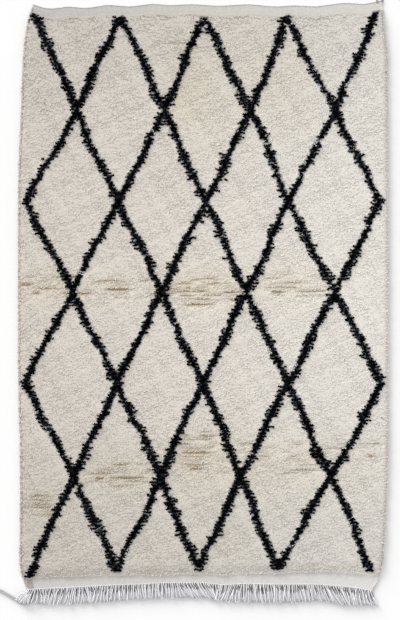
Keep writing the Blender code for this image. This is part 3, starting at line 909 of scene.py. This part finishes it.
row_yarns = []
for px, half, py, slope, curve, widest in partings:
    dx = np.linspace(-half, half, max(5, round(2 * half / PARTED_YARN_STEP)))
    line_y = py + slope * dx + curve * dx * dx + pile_chance.normal(0, 0.0007, len(dx))
    sink = 0.0030 * (1 - widest) + 0.0040 * (dx / half) ** 4 + pile_chance.uniform(0, 0.0024, len(dx))
    path = np.c_[px + dx, line_y, PARTED_YARN_TOP - PARTED_YARN / 2 - sink]
    left, right = np.interp(line_y, rows_read, left_read), np.interp(line_y, rows_read, right_read)
    clear = line_offsets(path[:, 0], path[:, 1]) > LINE_HALF_WIDTH + LINE_MARGIN
    clear &= (path[:, 0] > left + EDGE_MARGIN) & (path[:, 0] < right - EDGE_MARGIN)
    for run in np.split(np.arange(len(dx)), np.flatnonzero(np.diff(clear.astype(int))) + 1):
        if clear[run[0]] and len(run) > 2:
            row_yarns.append(path[run])
parted_wool = wool_material("golden pile wool with painted shade", PARTED_TINT_AND_SHADE, unevenness=0.8)
parted_rows = spin_yarns("parted_rows", row_yarns, PARTED_YARN, parted_wool)
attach(parted_rows, "root")


# ------------------------
# The fringe. The warps run on past a twined line of two white yarns, in loose strands of three white
# plies over shorter ends of grey and dark warp, on a grey sheet. The dark ends, the sheet's dark roots and
# in part the grey ends are painted shade between the strands. They lean this way and that, and splay at both
# corners.
# ------------------------
STRANDS = 158
FRINGE_LEFT, FRINGE_RIGHT = -0.753, 0.724
PLY_THICKNESS = 0.0024
PLY_TWIST = 0.024
STRAND_POINTS = 12
ROOTS_INSIDE = 0.001
TIPS_SWEEP = 1.25  # above 1, a strand leaves the cloth straight and leans more and more
TIPS_UNEVEN, STRAND_BOW = 0.003, 0.0035
CORD_SIDE, OVER_CORD = -0.705, 0.007  # the strands left of here lie over the cord, so much higher
WHITE_REACH, GREY_REACH, DARK_REACH = (0.92, 1.0), (0.8, 1.0), (0.2, 0.75)  # as shares of the way to the tips
WHITE_LIFT, GREY_LIFT, DARK_LIFT = (0.008, 0.013), 0.008, 0.008
WHITE_TIPS_STRAY, GREY_TIPS_STRAY, DARK_TIPS_STRAY = 0.006, 0.012, 0.004
FRINGE_LEANS = (
    # along the fringe, how far the tips lean from their roots
    (-0.757, -0.052), (-0.735, -0.030), (-0.700, 0.010), (-0.660, -0.018), (-0.600, -0.016),
    (-0.530, -0.004), (-0.500, 0.022), (-0.460, -0.020), (-0.400, -0.006), (-0.270, 0.004),
    (-0.130, 0.002), (-0.100, 0.050), (-0.030, 0.040), (0.020, 0.050), (0.055, 0.000), (0.100, -0.030),
    (0.160, -0.010), (0.250, 0.012), (0.350, 0.006), (0.450, 0.015), (0.500, 0.026), (0.540, 0.045),
    (0.600, 0.035), (0.660, 0.004), (0.720, 0.022),
)
FRINGE_TIPS = (
    # x, y
    (-0.80, -1.285), (-0.72, -1.296), (-0.58, -1.299), (-0.40, -1.286), (-0.20, -1.272), (0.00, -1.270),
    (0.11, -1.290), (0.38, -1.293), (0.51, -1.283), (0.60, -1.302), (0.74, -1.305),
)
FRINGE_WHITE = (0.79, 0.78, 0.80)
# grey, in part as painted shade of the lower strands
FRINGE_GREY = (0.60, 0.60, 0.62)
# the dark ends are painted shade between the strands
FRINGE_SHADE_DARK = (0.075, 0.075, 0.085)
MAT_CELLS = 330, 6
MAT_MARGIN = 0.004
MAT_HEIGHT, MAT_LIFT = 0.0030, 0.0072
MAT_RAGGED = (0.84, 0.98)
MAT_THICKNESS = 0.0012
# painted shade: the sheet under the strands is darkest at their roots
MAT_ROOT_SHADE, MAT_TIP_SHADE = np.array(((0.20, 0.195, 0.205), (0.52, 0.515, 0.53)))
CLUMP_STRANDS = 26
CLUMP_ROOT, CLUMP_WIDTH = (-0.756, -1.238), 0.016
CLUMP_TIPS = np.array(((-0.806, -1.276), (-0.752, -1.300)))
CLUMP_BOW = np.array((-0.006, 0.004))
TWINE_YARN = 0.0028
TWINE_RING = TWINE_YARN * 0.42
TWINE_ENDS = (-0.757, 0.729)
TWINE_PITCH = 0.012
TWINE_INSIDE, TWINE_HEIGHT = 0.0022, 0.0048  # from the cloth's edge, and over the floor
TWINE_WHITE = (0.72, 0.715, 0.715)
fringe_chance = np.random.default_rng(5)

leans_at, leans = np.array(FRINGE_LEANS).T
tips_at, tips = np.array(FRINGE_TIPS).T


def arch(share):
    """How high a strand stands along its length: it rises out of the cloth and comes down again."""
    return np.sin(np.pi * 0.62 * share**0.8) ** 2



# a grey sheet under the strands, coloured as painted shade between them
mat, across, along = lay_grid("fringe_sheet_painted_shade", MAT_CELLS)
share = 1 - along
root_x = FRINGE_LEFT + MAT_MARGIN + (FRINGE_RIGHT - FRINGE_LEFT - 2 * MAT_MARGIN) * across
root_y = np.interp(root_x, columns_read, bottom_read) + ROOTS_INSIDE
tip_x = root_x + np.interp(root_x, leans_at, leans)
ragged = np.tile(fringe_chance.uniform(*MAT_RAGGED, MAT_CELLS[0] + 1), MAT_CELLS[1] + 1)
x = root_x + (tip_x - root_x) * ragged * share**TIPS_SWEEP
y = root_y + (np.interp(tip_x, tips_at, tips) - root_y) * ragged * share
shape_grid(mat, x, y, MAT_HEIGHT + MAT_LIFT * arch(share))
# painted shade, darkest at the roots
root_shade = np.clip(1 - share * 1.4, 0, 1)[:, None]
paint(mat.data, "yarn_tint_light_and_shade", MAT_ROOT_SHADE * root_shade + MAT_TIP_SHADE * (1 - root_shade))
thicken(mat, MAT_THICKNESS)
bpy.ops.object.shade_smooth()
shade_sheet_wool = wool_material("grey sheet with painted shade", fibres=500.0, unevenness=0.6)
mat.data.materials.append(shade_sheet_wool)


def strand_line(root_x, reach, start_z, lift, stray):
    """The middle line of one strand, from its root to this share of the way to the line of tips."""
    root_y = float(np.interp(root_x, columns_read, bottom_read)) + ROOTS_INSIDE
    tip_x = root_x + float(np.interp(root_x, leans_at, leans)) + fringe_chance.normal(0, stray)
    tip_y = float(np.interp(tip_x, tips_at, tips)) + fringe_chance.normal(0, TIPS_UNEVEN)
    share = np.linspace(0, 1, STRAND_POINTS)
    bow = fringe_chance.normal(0, STRAND_BOW)
    across = root_x + (tip_x - root_x) * reach * share**TIPS_SWEEP + bow * np.sin(np.pi * share)
    along = root_y + (tip_y - root_y) * reach * share
    return np.c_[across, along, start_z * (1 - share) ** 2 + PLY_THICKNESS * 0.9 + lift * arch(share)]


def twist_plies(middle, plies, ring):
    """Plies twisted together round a middle line."""
    length = np.r_[0, np.cumsum(np.linalg.norm(np.diff(middle, axis=0), axis=1))]
    turn = fringe_chance.uniform(0, 2 * np.pi) + 2 * np.pi * length / PLY_TWIST
    for ply in range(plies):
        angle = turn + 2 * np.pi * ply / plies
        yield middle + np.c_[ring * np.cos(angle), np.zeros(len(middle)), ring * 0.8 * (1 + np.sin(angle))]


white_plies, grey_plies, shade_plies = [], [], []
pitch = (FRINGE_RIGHT - FRINGE_LEFT) / STRANDS
for strand in range(STRANDS):
    root_x = FRINGE_LEFT + pitch * (strand + fringe_chance.uniform(0.3, 0.7))
    between_x = root_x + pitch / 2
    over_cord = OVER_CORD if root_x < CORD_SIDE else 0.0
    reach = fringe_chance.uniform(*WHITE_REACH)
    lift = over_cord + fringe_chance.uniform(*WHITE_LIFT)
    middle = strand_line(root_x, reach, 0.0022, lift, WHITE_TIPS_STRAY)
    white_plies += twist_plies(middle, 3, 0.0012)
    reach = fringe_chance.uniform(*GREY_REACH)
    middle = strand_line(between_x, reach, 0.001, GREY_LIFT + over_cord * 0.8, GREY_TIPS_STRAY)
    grey_plies += twist_plies(middle, 2, 0.0011)
    # the dark ends, painted shade between the strands
    reach = fringe_chance.uniform(*DARK_REACH)
    middle = strand_line(between_x, reach, 0.0020, DARK_LIFT + over_cord, DARK_TIPS_STRAY)
    shade_plies += twist_plies(middle, 1, 0.0002)
for strand in range(CLUMP_STRANDS):
    share = fringe_chance.uniform(0, 1)
    root = np.array((CLUMP_ROOT[0] + CLUMP_WIDTH * share, CLUMP_ROOT[1]))
    tip = CLUMP_TIPS[0] * (1 - share) + CLUMP_TIPS[1] * share + fringe_chance.normal(0, TIPS_UNEVEN, 2)
    along = np.linspace(0, 1, STRAND_POINTS)
    bow = CLUMP_BOW * (1 - share) + fringe_chance.normal(0, 0.002, 2)
    flat = root * (1 - along[:, None]) + tip * along[:, None] + bow * np.sin(np.pi * along)[:, None]
    rise = CORD_WIDTH - 0.001 + 0.003 * fringe_chance.uniform()
    middle = np.c_[flat, 0.004 + rise * np.sin(np.pi * 0.75 * along)]
    (white_plies if strand % 3 else grey_plies).extend(twist_plies(middle, 2, 0.0011))
fringe_white, fringe_grey, fringe_shade_ends = (
    spin_yarns(f"fringe_{name}", plies, thickness, wool_material(f"{wool} warp yarn", tint, fibres=1200.0))
    for name, wool, plies, thickness, tint in (
        ("white_strands", "white", white_plies, PLY_THICKNESS, FRINGE_WHITE),
        ("grey_strands", "grey", grey_plies, PLY_THICKNESS, FRINGE_GREY),
        ("painted_shade_ends", "dark", shade_plies, PLY_THICKNESS * 1.2, FRINGE_SHADE_DARK),
    )
)

twine_x = np.arange(*TWINE_ENDS, TWINE_PITCH / 8)
twine_y = np.interp(twine_x, columns_read, bottom_read) + TWINE_INSIDE
twine_turn = 2 * np.pi * twine_x / TWINE_PITCH
twine = []
for turn in (twine_turn, twine_turn + np.pi):
    rise = TWINE_HEIGHT + TWINE_RING * np.sin(turn)
    twine.append(np.c_[twine_x, twine_y + TWINE_RING * np.cos(turn), rise])
twine_wool = wool_material("white twining yarn", TWINE_WHITE, fibres=1200.0)
twined_line = spin_yarns("twined_line", twine, TWINE_YARN, twine_wool)

for piece in (mat, fringe_white, fringe_grey, fringe_shade_ends, twined_line):
    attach(piece, "root")
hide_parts("fringe")


# ------------------------
# The floor: plain, pale and matte, a little below the rug's underside.
# ------------------------
FLOOR_LEVEL = -0.0014
FLOOR_COLOR = (0.825, 0.825, 0.825, 1.0)

bpy.ops.mesh.primitive_plane_add(size=60, location=(0, 0, FLOOR_LEVEL))
floor = bpy.context.object
floor.name = "pale_floor"
floor_paint = bpy.data.materials.new("pale floor")
floor_paint.use_nodes = True
paint_look = {"Base Color": FLOOR_COLOR, "Roughness": 0.95, "Specular IOR Level": 0.1}
feed(floor_paint.node_tree, floor_paint.node_tree.nodes["Principled BSDF"], paint_look)
floor.data.materials.append(floor_paint)
